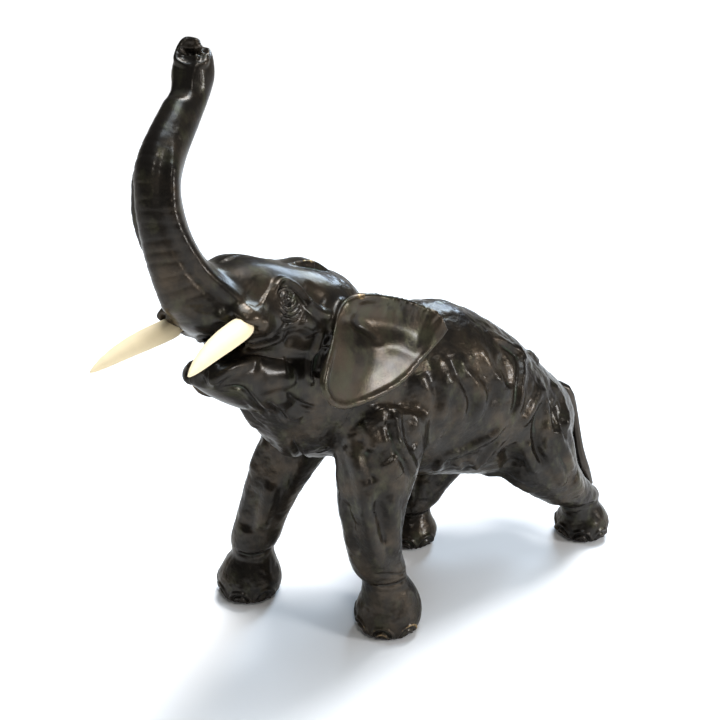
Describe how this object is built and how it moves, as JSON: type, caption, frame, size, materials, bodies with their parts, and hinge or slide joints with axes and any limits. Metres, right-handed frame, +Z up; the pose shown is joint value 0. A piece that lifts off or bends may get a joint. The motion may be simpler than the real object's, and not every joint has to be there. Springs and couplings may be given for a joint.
{
  "type": "elephant figurine",
  "caption": "Free-standing striding elephant figurine with raised head and trunk, cast in hollow sections joined at seams, with inset cream tusks.",
  "frame": {"origin": "centre of the bounding box on the surface the figurine stands on", "axes": "+Z up, the elephant faces -Y, +X is the elephant's left side"},
  "size_m": [0.1384, 0.365, 0.3568],
  "materials": {
    "patinated_bronze": "dark brown-black chemical patina over cast bronze, waxed, rubbed warm on raised edges",
    "sole_bronze": "filed flat bronze closing plates, dark patina",
    "tusk_ivory": "polished cream ivory-coloured inlay, satin"
  },
  "bodies": {
    "root": {"torso_casting": "patinated_bronze", "head_casting": "patinated_bronze", "trunk_casting": "patinated_bronze", "fore_left_leg": "patinated_bronze", "fore_left_sole": "sole_bronze", "fore_right_leg": "patinated_bronze", "fore_right_sole": "sole_bronze", "hind_left_leg": "patinated_bronze", "hind_left_sole": "sole_bronze", "hind_right_leg": "patinated_bronze", "hind_right_sole": "sole_bronze", "left_ear": "patinated_bronze", "right_ear": "patinated_bronze", "left_tusk": "tusk_ivory", "right_tusk": "tusk_ivory", "tail": "patinated_bronze"}
  },
  "joints": []
}
